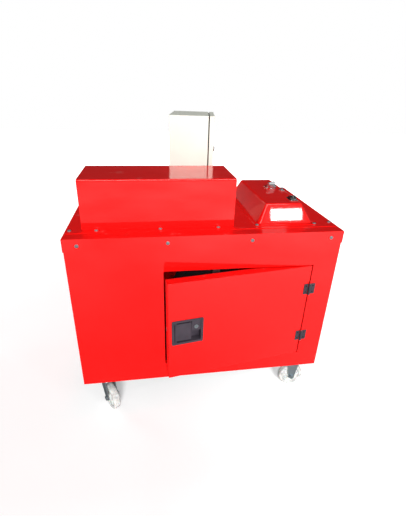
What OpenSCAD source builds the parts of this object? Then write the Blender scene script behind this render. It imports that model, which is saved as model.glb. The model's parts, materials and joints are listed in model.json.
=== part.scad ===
// Semi automatic strapping machine: a sheet-steel cabinet on four casters. Its lid carries the
// hood of the strapping head, a control box and an upright electrical enclosure. The strap reel,
// the feed unit and its motor stand inside, behind a hinged front door with a flush latch.
// Origin: on the floor, in the middle of the whole machine. X to the right, Y to the back, Z up.

/* [Cabinet] */
// Width of the lid, left to right
cabinet_w = 900; // [880:10:1100]
// Depth of the lid, front to back
cabinet_d = 565; // [560:5:690]
// Height from the bottom edge of the panels to the top of the lid
cabinet_h = 575; // [540:5:700]
// Thickness of the panels' and the lid's sheet steel
sheet = 2; // [1.5:0.1:2.4]
// Depth of the skirt that the lid folds down over the panels
skirt_h = 42; // [30:1:52]
// Leg of the steel angle that the frame is welded from
angle_leg = 30; // [25:1:36]
// Wall of the steel angle
angle_wall = 3; // [2.5:0.1:4]
// Thickness of the sheet that covers the lid
table_t = 1.5; // [1:0.1:2]
// Thickness of the stainless work plate
work_t = 3; // [2:0.5:5]
// Width of the strap slot
slot_w = 16; // [12:1:22]

/* [Front door] */
// Distance from the lid's left end to the door opening
opening_x = 299; // [280:1:330]
// Width of the door opening
opening_w = 515; // [425:1:540]
// Height of the opening's lower edge above the panels' bottom edge
opening_z = 68; // [55:1:85]
// Height of the door opening
opening_h = 384; // [320:1:420]
// Gap around the closed door
door_gap = 3; // [2.5:0.1:4]
// Depth of the door's folded edges
door_t = 34; // [28:1:38]
// Angle at which the door stands ajar
door_ajar = 8.8; // [4:0.1:12]
// Side of the square butt hinges
hinge_size = 42; // [34:1:50]
// Radius of the hinge knuckles
knuckle_r = 4.5; // [4:0.1:6]
// Radius of the hinge pins
hinge_pin_r = 2; // [1.6:0.1:2.6]

/* [Latch] */
// Width of the latch frame
latch_w = 108; // [96:1:116]
// Height of the latch frame
latch_h = 96; // [84:1:110]
// Depth of the latch's tray behind the door's face
latch_depth = 24; // [20:1:26]
// Radius of the key barrel
barrel_r = 7; // [6:0.5:8]

/* [Hood] */
// Width of the hood
hood_w = 487; // [470:1:500]
// Depth of the hood
hood_d = 211; // [205:1:216]
// Height of the hood above the table sheet
hood_h = 158.5; // [150:0.5:190]
// Outer bend radius of the hood
hood_r = 7; // [4:1:12]
// Width of the hood's front flange
hood_flange = 20; // [16:1:22]

/* [Control box] */
// Width of the control box at its base
control_w = 193; // [180:1:200]
// Depth of the control box at its base
control_d = 396; // [330:1:475]
// Height of the control box above the table sheet
control_h = 64; // [55:1:76]
// How far the sides lean in over the full height
control_lean = 25; // [15:1:30]
// Radius of the control box's edges
control_r = 14; // [8:1:18]
// Radius of the selector knob
knob_r = 19; // [16:0.5:22]

/* [Enclosure] */
// Width of the electrical enclosure, along the machine's depth
enclosure_w = 250; // [210:5:255]
// Height of the electrical enclosure
enclosure_h = 224; // [190:1:270]
// Depth of the electrical enclosure, door included
enclosure_d = 160; // [140:1:165]
// Thickness of the enclosure's door
enclosure_door_t = 17; // [14:1:20]
// Height of the stand under the enclosure
stand_h = 100; // [100:1:130]
// Angle by which the enclosure is turned clockwise, seen from above
enclosure_turn = 9; // [0:0.5:10]

/* [Casters] */
// Height of the casters, from the floor to the panels' bottom edge
caster_h = 135; // [130:1:165]
// Radius of the caster wheels
wheel_r = 50; // [40:1:52]
// Width of the caster wheels' tread
wheel_w = 26; // [22:1:32]
// Distance from the swivel axis to the wheel's axle
caster_trail = 32; // [26:1:36]
// Radius of the caster axles
axle_r = 6; // [5:0.5:7]

/* [Reel] */
// Radius of the reel's retaining arms
reel_r = 168; // [140:1:175]
// Radius of the wound strap
coil_r = 150; // [130:1:155]
// Radius of the reel's core
core_r = 100; // [80:1:110]
// Width of the wound strap
coil_w = 150; // [125:1:160]
// Radius of the reel shaft
shaft_r = 12; // [10:0.5:14]

/* [Feed unit and head] */
// Radius of the feed rollers
feed_r = 22; // [18:1:24]
// Radius of the motor's pulley
motor_pulley_r = 25; // [20:1:30]
// Radius of the pulley on the feed shaft
feed_pulley_r = 40; // [33:1:45]
// Radius of the feed shafts
feed_shaft_r = 8; // [6:0.5:9]
// Radius of the cam shaft
cam_shaft_r = 10; // [8:0.5:11]
// Distance between the head's side plates
head_w = 106; // [100:1:125]

/* [Fits] */
// Radial clearance of a shaft in its bore
fit = 0.05; // [0.02:0.01:0.1]
// Gap between faces that slide or turn past each other
slip = 0.3; // [0.3:0.05:0.5]
// Radial clearance of a screw in its hole
screw_fit = 0.1; // [0.05:0.05:0.3]

/* [Hidden] */

$fn = 48;
eps = 0.01;

// Paint and material colours
red = [0.85, 0.07, 0.06];
cream = [0.9, 0.89, 0.83];
zinc = [0.68, 0.72, 0.74];
steel = [0.62, 0.63, 0.65];
black = [0.13, 0.12, 0.13];

// The machine's planes. door_reach and gland_reach centre the whole machine on the origin.
gland_reach = 24;
door_w = opening_w - 2 * door_gap;
door_h = opening_h - 2 * door_gap;
door_reach = door_w * sin(door_ajar) + 8;
front_y = (door_reach - gland_reach - cabinet_d) / 2;
rear_y = front_y + cabinet_d;
left_x = -cabinet_w / 2;
right_x = cabinet_w / 2;
cab_z = caster_h;
top_z = cab_z + cabinet_h;
deck_z = top_z + table_t;
floor_z = cab_z + angle_wall + sheet;
face_y = front_y + sheet;

// The space inside the panels, which the frame lines
in_x = left_x + 2 * sheet;
in_y = front_y + 2 * sheet;
in_w = cabinet_w - 4 * sheet;
in_d = cabinet_d - 4 * sheet;
in_top = top_z - sheet;

// Screws: pan heads, with a shank through the sheets that they hold
screw_head_r = 6.2;
screw_head_h = 3.6;
screw_r = 2.5;
screw_l = 7;
skirt_screw_z = top_z - 0.52 * skirt_h;
skirt_inset = 43;
front_skirt_x = [for (i = [0:3]) left_x + skirt_inset + i * (cabinet_w - 2 * skirt_inset) / 3];
side_skirt_y = [front_y + 110, rear_y - 110];

// Table sheet and work plate
table_inset = 6;
table_front = 44;
slot_x = left_x + 209;
slot_front = front_y + 304;
slot_rear = rear_y - 38;
work_x = left_x + 22;
work_y = front_y + 292;
work_w = 300;
work_d = rear_y - 10 - work_y;
top_skin = sheet + table_t + work_t;

// Hood, over the strapping head
hood_x = left_x + 51;
hood_y = front_y + 69;
hood_sheet = 1.5;
window_w = 150;
window_z = 84;
window_h = 52;
hood_screw_x = [hood_x + 45, hood_x + hood_w / 2, hood_x + hood_w - 54];
hood_screw_y = hood_y - hood_flange / 2;

// Control box, placed from the lid's right end
control_x = right_x - 82 - control_w;
control_y = front_y + 75;
control_lip = 12;
lip_t = 2;
control_wall = 3;
control_top_z = deck_z + control_h;
control_screws = [[control_x - control_lip / 2, control_y - 6],
    [control_x + control_w + control_lip / 2, control_y - 6],
    [control_x - control_lip / 2, control_y + control_d + 2],
    [control_x + control_w + control_lip / 2, control_y + control_d + 2]];
knob_at = [control_x + 0.62 * control_w, control_y + 0.61 * control_d];
button_at = [control_x + 0.77 * control_w, control_y + 0.505 * control_d];
rocker_at = [control_x + 0.74 * control_w, control_y + 0.2 * control_d];
stem_r = 5;
button_r = 8;
rocker_l = 44;
rocker_w = 26;
rocker_r = rocker_l / 2 - 5;
table_corner_screws = [[left_x + 14, front_y + 66], [right_x - 14, front_y + 84],
    [left_x + 14, rear_y - 20], [right_x - 14, rear_y - 20]];

// Enclosure: its own frame has X through its depth and Y across its width
enclosure_at = [left_x + 441, rear_y - 141];
enclosure_wall = 1.5;
gasket_t = 4;
lip_w = 14;
enclosure_z = deck_z + stand_h;
stand_w = 180;
stand_d = 96;
enclosure_body_d = enclosure_d - enclosure_door_t - gasket_t;
seam_x = enclosure_d / 2 - enclosure_door_t;
lock_y = -enclosure_w / 2 + 24;
lock_r = 9;
cam_back = gasket_t + enclosure_wall + 3;
enclosure_pin_y = enclosure_w / 2 + 5;
enclosure_pin_r = 2.5;
enclosure_barrel_r = 4.5;
enclosure_hinge_z = [enclosure_z + 34, enclosure_z + enclosure_h - 34];
barrel_h = 30;

// Door: the hinge axis is in front of the gap at the opening's right edge
door_x = left_x + opening_x + door_gap;
door_z = cab_z + opening_z + door_gap;
hinge_x = door_x + door_w + door_gap / 2;
hinge_y = face_y - knuckle_r - 0.5;
hinge_z = [cab_z + 154, cab_z + 358];
leaf_t = 2;
knuckle_share = 0.36;

// Cable gland on the rear panel
gland_at = [right_x - 130, rear_y, cab_z + 90];
gland_r = 12;

// Latch, placed from the door's free edge
latch_x = door_x + 11;
latch_z = cab_z + 213;
latch_rim = 3;
rim_w = 8;
tray_wall = 2;
paddle_w = 54;
paddle_t = 5;
paddle_pin_r = 2.5;
paddle_x = latch_x + rim_w + paddle_pin_r + 2;
paddle_y = face_y + 3;
key_x = latch_x + latch_w - 24;
key_z = latch_z + latch_h - 34;
column_x = paddle_x + paddle_w + 1.5;
bolt_h = 16;
bolt_t = 9;
bolt_y = face_y + latch_depth + 0.8;
bolt_l = 60;
bolt_z = latch_z + (latch_h - bolt_h) / 2;
bolt_throw = 9;
keeper_l = bolt_throw + 7;

// Casters
caster_inset_x = 77;
caster_inset_y = 47;
caster_plate = [96, 84, 3];
fork_t = 3;
fork_gap = wheel_w + 8;
fork_top_z = caster_h - caster_plate[2] - slip;
king_r = 6;
front_caster_turn = -60;
rear_caster_turn = 20;
caster_left = left_x + caster_inset_x;
caster_right = right_x - caster_inset_x;
caster_front = front_y + caster_inset_y;
caster_rear = rear_y - caster_inset_y;

// Reel, on a shaft that points at the door
reel_x = left_x + 485;
reel_z = cab_z + 254;
reel_front = front_y + 58;
arm_t = 4;
arm_w = 26;
hub_r = 30;
coil_y = reel_front + arm_t + 2;
reel_back = coil_y + coil_w + 2 + arm_t;
stand_y = reel_back + 30;
stand_plate_t = 8;
spoke_r = 10;
drum_r = 40;
drum_l = 14;
brake_pivot = [reel_x + 70, reel_back + 3, reel_z - 62];
brake_pin_r = 5;

// Feed plate, with all its shafts along Y
feed_x = left_x + 40;
feed_w = 250;
feed_y = front_y + 300;
feed_t = 8;
feed_top = in_top - angle_leg - 4;
motor_x = slot_x - 20;
motor_z = floor_z + 120;
motor_r = 56;
motor_l = 150;
pilot_r = 30;
drive_x = slot_x - feed_r - 0.5;
press_x = slot_x + feed_r + 0.5;
feed_roller_z = feed_top - 60;
feed_roller_w = 24;
feed_roller_y = feed_y - 6 - feed_roller_w;
pulley_w = 20;
pulley_y = feed_y + feed_t + 8;
belt_t = 3;

// Head, inside the hood
head_x = slot_x - head_w / 2;
head_plate_t = 6;
head_y = hood_y + 26;
head_d = 160;
head_h = 124;
anvil_t = 8;
cam_y = head_y + 128;
cam_r = 24;
cam_lift = 4;
ram_w = 26;
ram_d = 34;
ram_travel = 5;
ram_top = deck_z + head_h - anvil_t - ram_travel - slip;
ram_h = 26;
cam_z = ram_top - ram_h - cam_r - cam_lift - slip;
heater_w = 18;
heater_d = 34;
heater_z = deck_z + 92;
coupling_x = head_x + head_w + 2 * head_plate_t + 24;

module box(low, size) { translate(low) cube(size); }

// A box whose corners are round seen along Z
module round_box(low, size, r) {
    translate(low) linear_extrude(size[2]) union() {
        translate([r, 0]) square([size[0] - 2 * r, size[1]]);
        translate([0, r]) square([size[0], size[1] - 2 * r]);
        for (x = [r, size[0] - r], y = [r, size[1] - r]) translate([x, y]) circle(r);
    }
}

// A bar along Y that starts at the given point
module rod_y(at, r, l) { translate(at) rotate([-90, 0, 0]) cylinder(r = r, h = l); }

// A bar along X that starts at the given point
module rod_x(at, r, l) { translate(at) rotate([0, 90, 0]) cylinder(r = r, h = l); }

// Everything that swings with the front door, drawn shut and then opened
module ajar() {
    translate([hinge_x, hinge_y, 0]) rotate([0, 0, door_ajar]) translate([-hinge_x, -hinge_y, 0])
        children();
}

// Everything of the enclosure, drawn square to its own axes
module turned() {
    translate(concat(enclosure_at, [0])) rotate([0, 0, -enclosure_turn]) children();
}

// A pan-head screw with a cross recess, its head above Z = 0
module screw() {
    difference() {
        union() {
            rotate_extrude() polygon([[0, 0], [screw_head_r, 0], [screw_head_r, 1.4],
                [5.4, 2.7], [3.6, 3.4], [0, screw_head_h]]);
            translate([0, 0, -screw_l]) cylinder(r = screw_r, h = screw_l + eps);
        }
        for (a = [0, 90]) rotate([0, 0, a]) box([-3.4, -0.7, 1.6], [6.8, 1.4, 4]);
    }
}

module screw_hole() {
    translate([0, 0, -screw_l - 1]) cylinder(r = screw_r + screw_fit, h = screw_l + 2);
}

module at_front_skirt() {
    for (x = front_skirt_x) translate([x, front_y, skirt_screw_z]) rotate([90, 0, 0]) children();
}

module at_rear_skirt() {
    for (x = front_skirt_x) translate([x, rear_y, skirt_screw_z]) rotate([-90, 0, 0]) children();
}

module at_left_skirt() {
    for (y = side_skirt_y) translate([left_x, y, skirt_screw_z]) rotate([0, -90, 0]) children();
}

module at_right_skirt() {
    for (y = side_skirt_y) translate([right_x, y, skirt_screw_z]) rotate([0, 90, 0]) children();
}

module at_table_corners() {
    for (p = table_corner_screws) translate([p[0], p[1], deck_z]) children();
}

module at_hood_flange() {
    for (x = hood_screw_x) translate([x, hood_screw_y, deck_z + hood_sheet]) children();
}

module at_control_lip() {
    for (p = control_screws) translate([p[0], p[1], deck_z + lip_t]) children();
}

// One ring of steel angle that lines the panels, with its flat leg at the given height
module angle_ring(low_z, flat_z) {
    difference() {
        box([in_x, in_y, low_z], [in_w, in_d, angle_leg]);
        box([in_x + angle_wall, in_y + angle_wall, low_z - 1],
            [in_w - 2 * angle_wall, in_d - 2 * angle_wall, angle_leg + 2]);
    }
    difference() {
        box([in_x, in_y, flat_z], [in_w, in_d, angle_wall]);
        box([in_x + angle_leg, in_y + angle_leg, flat_z - 1],
            [in_w - 2 * angle_leg, in_d - 2 * angle_leg, angle_wall + 2]);
    }
}

module base_frame() color(black) {
    gusset = [caster_inset_x + 52, caster_inset_y + 46, angle_wall];
    angle_ring(cab_z, cab_z);
    for (x = [in_x, in_x + in_w - gusset[0]], y = [in_y, in_y + in_d - gusset[1]])
        box([x, y, cab_z], gusset);
}

module corner_posts() color(black) {
    post_h = in_top - angle_wall - floor_z;
    for (sx = [-1, 1], sy = [-1, 1])
        translate([sx * (in_w / 2 - angle_wall), in_y + in_d / 2 + sy * (in_d / 2 - angle_wall),
            floor_z]) {
            translate([sx > 0 ? -angle_leg : 0, sy > 0 ? -angle_wall : 0, 0])
                cube([angle_leg, angle_wall, post_h]);
            translate([sx > 0 ? -angle_wall : 0, sy > 0 ? -angle_leg : 0, 0])
                cube([angle_wall, angle_leg, post_h]);
        }
}

module top_frame() color(black) difference() {
    angle_ring(in_top - angle_leg, in_top - angle_wall);
    at_front_skirt() screw_hole();
    at_rear_skirt() screw_hole();
    at_left_skirt() screw_hole();
    at_right_skirt() screw_hole();
    at_table_corners() screw_hole();
}

module floor_plate() color(black)
    box([in_x + angle_wall, in_y + angle_wall, cab_z + angle_wall],
        [in_w - 2 * angle_wall, in_d - 2 * angle_wall, sheet]);

// Outer panel across the front or the back
module wide_panel(y) {
    box([left_x + sheet, y, cab_z], [cabinet_w - 2 * sheet, sheet, cabinet_h - sheet]);
}

// Outer panel at one end, with a field of vent slots
module end_panel(x) {
    vent_w = 5;
    vent_l = 120;
    difference() {
        box([x, in_y, cab_z], [sheet, in_d, cabinet_h - sheet]);
        for (i = [0:7], side = [-1, 1])
            box([x - 1, in_y + in_d / 2 + side * 80 - vent_l / 2, cab_z + 300 + i * 16],
                [sheet + 2, vent_l, vent_w]);
    }
}

module front_panel() color(red) {
    return_d = 14;
    low = [left_x + opening_x, face_y, cab_z + opening_z];
    difference() {
        union() {
            wide_panel(face_y);
            box([low[0] - sheet, face_y, low[2] - sheet],
                [opening_w + 2 * sheet, sheet + return_d, opening_h + 2 * sheet]);
        }
        box([low[0], face_y - 1, low[2]], [opening_w, return_d + sheet + 2, opening_h]);
        at_front_skirt() screw_hole();
    }
}

module left_panel() color(red) difference() {
    end_panel(left_x + sheet);
    at_left_skirt() screw_hole();
}

module right_panel() color(red) difference() {
    end_panel(right_x - 2 * sheet);
    at_right_skirt() screw_hole();
}

// Rear panel with two columns of pressed louvres and the hole for the cable gland
module rear_panel() color(red) difference() {
    louvre_l = 160;
    louvre_h = 6;
    wide_panel(rear_y - 2 * sheet);
    for (i = [0:8], side = [-1, 1])
        box([side * 200 - louvre_l / 2, rear_y - 2 * sheet - 1, cab_z + 250 + i * 20],
            [louvre_l, sheet + 2, louvre_h]);
    rod_y([gland_at[0], rear_y - 3 * sheet, gland_at[2]], gland_r, 4 * sheet);
    at_rear_skirt() screw_hole();
}

module slot_cut() {
    box([slot_x - slot_w / 2, slot_front, top_z - sheet - 1],
        [slot_w, slot_rear - slot_front, top_skin + 2]);
}

module lid() color(red) difference() {
    box([left_x, front_y, top_z - skirt_h], [cabinet_w, cabinet_d, skirt_h]);
    box([left_x + sheet, front_y + sheet, top_z - skirt_h - 1],
        [cabinet_w - 2 * sheet, cabinet_d - 2 * sheet, skirt_h - sheet + 1]);
    slot_cut();
    at_front_skirt() screw_hole();
    at_rear_skirt() screw_hole();
    at_left_skirt() screw_hole();
    at_right_skirt() screw_hole();
    at_table_corners() screw_hole();
    at_hood_flange() screw_hole();
    at_control_lip() screw_hole();
}

module skirt_screws() color(zinc) {
    at_front_skirt() screw();
    at_rear_skirt() screw();
    at_left_skirt() screw();
    at_right_skirt() screw();
}

module table_sheet() color(red) difference() {
    box([left_x + table_inset, front_y + table_front, top_z],
        [cabinet_w - 2 * table_inset, cabinet_d - table_front - table_inset, table_t]);
    slot_cut();
    at_table_corners() screw_hole();
    at_hood_flange() screw_hole();
    at_control_lip() screw_hole();
}

module work_plate() color(steel) difference() {
    round_box([work_x, work_y, deck_z], [work_w, work_d, work_t], 6);
    slot_cut();
}

// Hood: front, top and back are one folded sheet, closed by two end plates. Its rear window
// shows the anvil, where the strap end goes in.
module hood() color(red) difference() {
    union() {
        translate([hood_x, hood_y, deck_z]) rotate([90, 0, 90]) linear_extrude(hood_w) union() {
            square([hood_d, hood_h - hood_r]);
            translate([hood_r, 0]) square([hood_d - 2 * hood_r, hood_h]);
            for (y = [hood_r, hood_d - hood_r]) translate([y, hood_h - hood_r]) circle(hood_r);
        }
        box([hood_x, hood_y - hood_flange, deck_z], [hood_w, hood_flange + eps, hood_sheet]);
    }
    translate([hood_x + hood_sheet, hood_y + hood_sheet, deck_z - 1])
        cube([hood_w - 2 * hood_sheet, hood_d - 2 * hood_sheet, hood_h - hood_r + 1]);
    translate([hood_x + hood_sheet, hood_y + hood_r, deck_z])
        cube([hood_w - 2 * hood_sheet, hood_d - 2 * hood_r, hood_h - hood_sheet]);
    box([slot_x - window_w / 2, hood_y + hood_d - 3, deck_z + window_z],
        [window_w, 6, window_h]);
    at_hood_flange() screw_hole();
}

module top_screws() color(zinc) {
    at_table_corners() screw();
    at_hood_flange() screw();
    at_control_lip() screw();
}

// Two side plates on feet, tied by a cross bar that carries the heater
module head_frame() color(steel) difference() {
    union() {
        for (x = [head_x - head_plate_t, head_x + head_w]) {
            box([x, head_y, deck_z], [head_plate_t, head_d, head_h - anvil_t]);
            box([x < slot_x ? x - 18 : x, head_y, deck_z], [head_plate_t + 18, head_d, 6]);
        }
        box([head_x - eps, head_y + 10, heater_z - 20 - slip],
            [head_w + 2 * eps, heater_d + 50, 20]);
    }
    rod_x([head_x - head_plate_t - 1, cam_y, cam_z], cam_shaft_r + fit,
        head_w + 2 * head_plate_t + 2);
}

module anvil() color(steel)
    round_box([head_x - head_plate_t, head_y + 74, deck_z + head_h - anvil_t],
        [head_w + 2 * head_plate_t, head_d - 74 + 8, anvil_t], 4);

// Gear motor that turns the cam shaft: a ribbed motor, a gear case and a foot
module gear_motor() color(steel) {
    case_x = coupling_x + 18;
    difference() {
        union() {
            box([case_x, cam_y - 38, deck_z + 4], [62, 76, 96]);
            box([case_x - 6, cam_y - 48, deck_z], [76, 96, 6]);
            rod_x([case_x + 62 - eps, cam_y, cam_z], 40, 96);
            for (i = [0:6]) rod_x([case_x + 70 + i * 11, cam_y, cam_z], 44, 4);
            box([case_x + 80, cam_y - 22, cam_z + 30], [50, 44, 24]);
        }
        rod_x([case_x - 10, cam_y, cam_z], cam_shaft_r + fit, 40);
    }
}

// Cam shaft with two eccentric cams under the rams and one for the heater
module cam_shaft() color(steel) {
    start = head_x - head_plate_t - 10;
    rod_x([start, cam_y, cam_z], cam_shaft_r, coupling_x + 40 - start);
    rod_x([coupling_x, cam_y, cam_z], 20, 14);
    for (i = [0:2])
        translate([0, cam_lift * cos(i * 120), cam_lift * sin(i * 120)])
            rod_x([head_x + 12 + i * 34, cam_y, cam_z], cam_r, 12);
}

// A ram that presses the strap up against the anvil: a toothed block in a guide
module ram(x) {
    difference() {
        box([x - ram_w / 2, cam_y - ram_d / 2, ram_top - ram_h], [ram_w, ram_d, ram_h]);
        for (i = [0:5]) box([x - ram_w / 2 - 1, cam_y - 15 + i * 5.5, ram_top - 1], [ram_w + 2, 2, 2]);
    }
}

module gripper_ram() color(steel) ram(head_x + ram_w / 2 + slip);

module press_ram() color(steel) ram(head_x + head_w - ram_w / 2 - slip);

module heater_blade() color("goldenrod") {
    low_y = head_y + 20;
    box([slot_x - heater_w / 2, low_y, heater_z], [heater_w, heater_d, 12]);
    box([slot_x - heater_w / 2 + 2, low_y, heater_z + 8], [heater_w - 4, heater_d + 30, 2]);
}

// The control box's tapered body, shrunk all round by the given wall
module control_shape(wall) {
    r = control_r;
    k = wall;
    lean = control_lean;
    hull() {
        for (x = [r, control_w - r], y = [r, control_d - r])
            translate([control_x + x, control_y + y, deck_z]) cylinder(r = r - k, h = 4, $fn = 32);
        for (x = [r + lean, control_w - r - lean], y = [r + lean, control_d - r - 12])
            translate([control_x + x, control_y + y, control_top_z - 10])
                sphere(r = 10 - k, $fn = 32);
    }
}

module control_box() color(red) difference() {
    union() {
        control_shape(0);
        round_box([control_x - control_lip, control_y - control_lip, deck_z],
            [control_w + 2 * control_lip, control_d + 2 * control_lip - 4, lip_t], 8);
    }
    intersection() {
        control_shape(control_wall);
        box([control_x, control_y, deck_z - 1], [control_w, control_d, control_h]);
    }
    box([control_x + control_r, control_y + control_r, deck_z - 1],
        [control_w - 2 * control_r, control_d - 2 * control_r, 3]);
    translate(concat(knob_at, [deck_z])) cylinder(r = stem_r + 2, h = control_h + 1);
    translate(concat(button_at, [deck_z])) cylinder(r = button_r + 1, h = control_h + 1);
    translate(concat(rocker_at, [deck_z + control_h / 2 + 10]))
        cube([rocker_w - 2, rocker_l - 2, control_h], center = true);
    at_control_lip() screw_hole();
}

// Fixed rings around the knob and the button, and the rocker's frame
module control_bezels() color(zinc) {
    translate(concat(knob_at, [control_top_z])) difference() {
        union() {
            cylinder(r = knob_r + 3, h = 2);
            translate([0, 0, -12]) cylinder(r = stem_r + 2, h = 12 + eps);
        }
        translate([0, 0, -13]) cylinder(r = stem_r + fit, h = 20);
    }
    translate(concat(button_at, [control_top_z])) difference() {
        union() {
            cylinder(r = button_r + 3, h = 2.5);
            translate([0, 0, -12]) cylinder(r = button_r + 1, h = 12 + eps);
        }
        translate([0, 0, -10]) cylinder(r = button_r - 1.5 + fit, h = 20);
        translate([0, 0, -13]) cylinder(r = 3 + fit, h = 20);
    }
    translate(concat(rocker_at, [control_top_z])) difference() {
        union() {
            round_box([-rocker_w / 2 - 2, -rocker_l / 2 - 2, 0], [rocker_w + 4, rocker_l + 4, 2], 8);
            translate([-rocker_w / 2 + 1, -rocker_l / 2 + 1, -16])
                cube([rocker_w - 2, rocker_l - 2, 16 + eps]);
        }
        translate([-rocker_w / 2 + 2, -rocker_l / 2 + 2, -14]) cube([rocker_w - 4, rocker_l - 4, 20]);
    }
}

// Selector knob: a round skirt with a raised grip bar, on a stem
module selector_knob() color(zinc) translate(concat(knob_at, [control_top_z + 2 + slip])) {
    translate([0, 0, -20]) cylinder(r = stem_r, h = 20 + eps);
    cylinder(r = knob_r, h = 7);
    translate([0, 0, 7 - eps]) cylinder(r = knob_r - 3, h = 3);
    rotate([0, 0, 20]) round_box([-knob_r + 2, -4.5, 7], [2 * knob_r - 4, 9, 13], 4);
}

module push_button() color(steel) translate(concat(button_at, [control_top_z])) {
    translate([0, 0, -3]) cylinder(r = button_r - 1.5, h = 8);
    translate([0, 0, -16]) cylinder(r = 3, h = 13 + eps);
}

// Rocker: a half-round key that tips about its own axis
module rocker_switch() color(black) {
    translate(concat(rocker_at, [control_top_z - 4])) {
        difference() {
            rotate([0, 90, 0])
                cylinder(r = rocker_r, h = rocker_w - 4 - 2 * slip, center = true);
            translate([-rocker_w, -rocker_l, -rocker_l - 4]) cube([2 * rocker_w, 2 * rocker_l, rocker_l]);
        }
        rotate([0, 90, 0]) cylinder(r = 2.5, h = rocker_w - 4 - 2 * slip, center = true);
    }
}

// Stand of folded sheet that lifts the enclosure clear of the hood and passes its cables
module enclosure_stand() color(cream) turned() difference() {
    x = -enclosure_d / 2 + 18;
    union() {
        box([x, -stand_w / 2, deck_z], [stand_d, stand_w, stand_h]);
        box([x - 8, -stand_w / 2 - 12, deck_z], [stand_d + 16, stand_w + 24, 2]);
    }
    box([x + 2, -stand_w / 2 + 2, deck_z - 1], [stand_d - 4, stand_w - 4, stand_h - 1]);
    translate([x + stand_d / 2, 0, deck_z]) cylinder(r = 20, h = stand_h + 1);
}

module enclosure_body() color(cream) turned() {
    x = -enclosure_d / 2;
    difference() {
        round_box([x, -enclosure_w / 2, enclosure_z],
            [enclosure_body_d, enclosure_w, enclosure_h], enclosure_wall);
        box([x + enclosure_wall, -enclosure_w / 2 + enclosure_wall, enclosure_z + enclosure_wall],
            [enclosure_body_d - 2 * enclosure_wall, enclosure_w - 2 * enclosure_wall,
                enclosure_h - 2 * enclosure_wall]);
        box([seam_x - gasket_t - enclosure_wall - 1, -enclosure_w / 2 + lip_w, enclosure_z + lip_w],
            [enclosure_wall + 2, enclosure_w - 2 * lip_w, enclosure_h - 2 * lip_w]);
        translate([x + 18 + stand_d / 2, 0, enclosure_z - 1]) cylinder(r = 20, h = 10);
    }
    for (z = enclosure_hinge_z) enclosure_knuckle(z - barrel_h / 2, enclosure_pin_r, true);
}

// Half of a barrel hinge: a knuckle with a lug to the body or to the door
module enclosure_knuckle(z, bore_r, on_body) difference() {
    union() {
        translate([seam_x, enclosure_pin_y, z])
            cylinder(r = enclosure_barrel_r, h = barrel_h / 2 - slip);
        box([on_body ? seam_x - gasket_t - 12 : seam_x, enclosure_w / 2,
            z], [12 + (on_body ? gasket_t : 0), 3, barrel_h / 2 - slip]);
    }
    translate([seam_x, enclosure_pin_y, z - 1]) cylinder(r = bore_r, h = barrel_h + 2);
}

module enclosure_gasket() color(black) turned() difference() {
    inset = 4;
    box([seam_x - gasket_t, -enclosure_w / 2 + inset, enclosure_z + inset],
        [gasket_t - slip, enclosure_w - 2 * inset, enclosure_h - 2 * inset]);
    box([seam_x - gasket_t - 1, -enclosure_w / 2 + lip_w, enclosure_z + lip_w],
        [gasket_t + 2, enclosure_w - 2 * lip_w, enclosure_h - 2 * lip_w]);
}

// Back plate with a contactor, a transformer, a timer, terminals and the rail under them
module enclosure_electrics() color(steel) turned() {
    x = -enclosure_d / 2 + enclosure_wall;
    plate_w = enclosure_w - 40;
    plate_h = enclosure_h - 40;
    for (y = [-70, 70], z = [30, enclosure_h - 30])
        translate([x, y, enclosure_z + z]) rotate([0, 90, 0]) cylinder(r = 5, h = 10);
    box([x + 10, -plate_w / 2, enclosure_z + 20], [2, plate_w, plate_h]);
    box([x + 12, -plate_w / 2 + 10, enclosure_z + 130], [7, plate_w - 20, 35]);
    for (i = [0:2]) box([x + 19, -84 + i * 52, enclosure_z + 112], [60, 45, 72]);
    box([x + 12, -80, enclosure_z + 30], [66, 80, 66]);
    for (i = [0:6]) box([x + 12, 12 + i * 10, enclosure_z + 44], [38, 9.5, 40]);
}

module enclosure_door() color(cream) turned() {
    wall = enclosure_wall;
    difference() {
        round_box([seam_x, -enclosure_w / 2, enclosure_z],
            [enclosure_door_t, enclosure_w, enclosure_h], wall);
        box([seam_x - 1, -enclosure_w / 2 + wall, enclosure_z + wall],
            [enclosure_door_t - wall + 1, enclosure_w - 2 * wall, enclosure_h - 2 * wall]);
        rod_x([seam_x, lock_y, enclosure_z + enclosure_h / 2], lock_r - 2 + fit,
            enclosure_door_t + 2);
    }
    for (z = enclosure_hinge_z)
        enclosure_knuckle(z + slip, enclosure_pin_r + fit, false);
}

// Quarter-turn lock: a slotted barrel through the door, with a cam behind it
module enclosure_lock() color(black) turned() {
    translate([seam_x + enclosure_door_t, lock_y, enclosure_z + enclosure_h / 2])
        rotate([0, 90, 0]) {
            difference() {
                translate([0, 0, slip]) cylinder(r = lock_r, h = 4);
                translate([-1, -6, 2]) cube([2, 12, 4]);
            }
            translate([0, 0, -enclosure_door_t - cam_back])
                cylinder(r = lock_r - 2, h = enclosure_door_t + cam_back + 1);
        }
    box([seam_x - cam_back, lock_y - 7, enclosure_z + enclosure_h / 2 - 19],
        [2.5, 14, 26]);
}

module cable_gland() color(black) difference() {
    union() {
        rod_y([gland_at[0], rear_y - 14, gland_at[2]], gland_r - 0.05, 14 + 8);
        translate([gland_at[0], rear_y - sheet, gland_at[2]]) rotate([-90, 0, 0])
            cylinder(r = 17, h = 7, $fn = 6);
        rod_y([gland_at[0], rear_y + 5, gland_at[2]], 14, gland_reach - 5);
        translate([gland_at[0], rear_y - 2 * sheet - 6, gland_at[2]]) rotate([-90, 0, 0])
            cylinder(r = 17, h = 6, $fn = 6);
    }
    rod_y([gland_at[0], rear_y - 20, gland_at[2]], 6.5, 60);
}

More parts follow.
